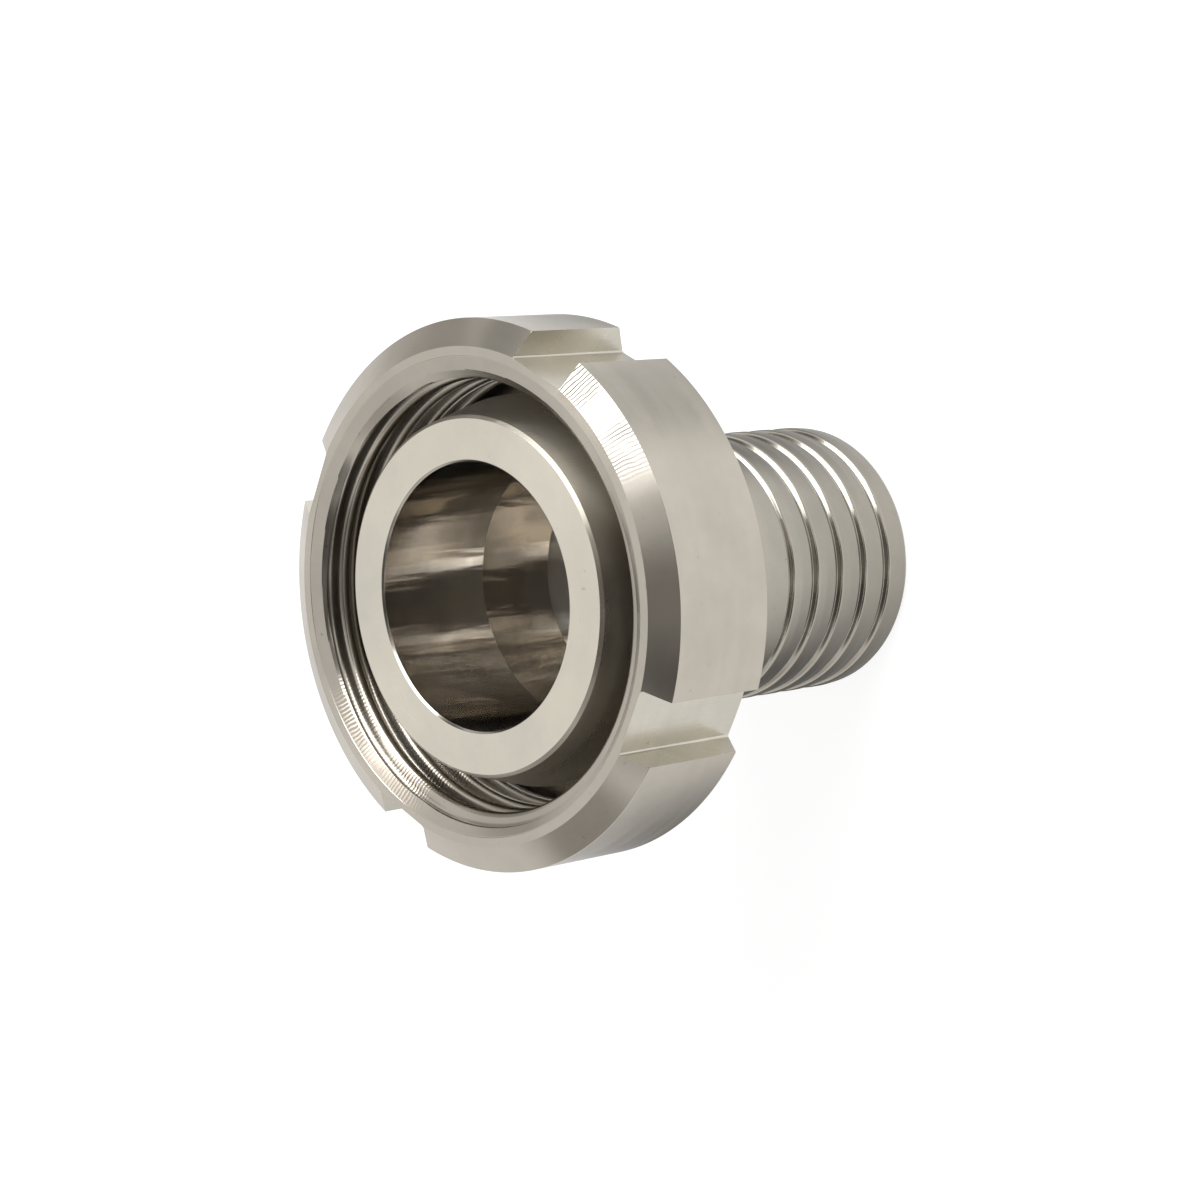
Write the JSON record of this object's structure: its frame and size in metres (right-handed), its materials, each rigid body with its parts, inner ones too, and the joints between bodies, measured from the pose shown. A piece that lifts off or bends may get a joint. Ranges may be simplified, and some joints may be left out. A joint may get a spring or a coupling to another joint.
{
  "type": "hose connector",
  "caption": "Hose tail with rounded barbs and a tapered collar, carrying a loose slotted union nut with a round inner thread.",
  "frame": {"origin": "centre of the tail's end, on which the part stands", "axes": "+Z along the common axis, from the hose end up to the sealing face and the mouth of the nut; the slots of the nut lie midway between X and Y"},
  "size_m": [0.078, 0.078, 0.0732],
  "materials": {
    "tail_steel": "turned stainless steel, satin",
    "nut_steel": "turned stainless steel, satin, milled slots"
  },
  "bodies": {
    "hose_tail": {"hose_tail": "tail_steel"},
    "union_nut": {"union_nut": "nut_steel"}
  },
  "joints": [
    {"name": "nut_spin", "type": "hinge", "parent": "hose_tail", "child": "union_nut", "pos_m": [0, 0, 0.06], "axis": [0, 0, 1], "continuous": true}
  ]
}
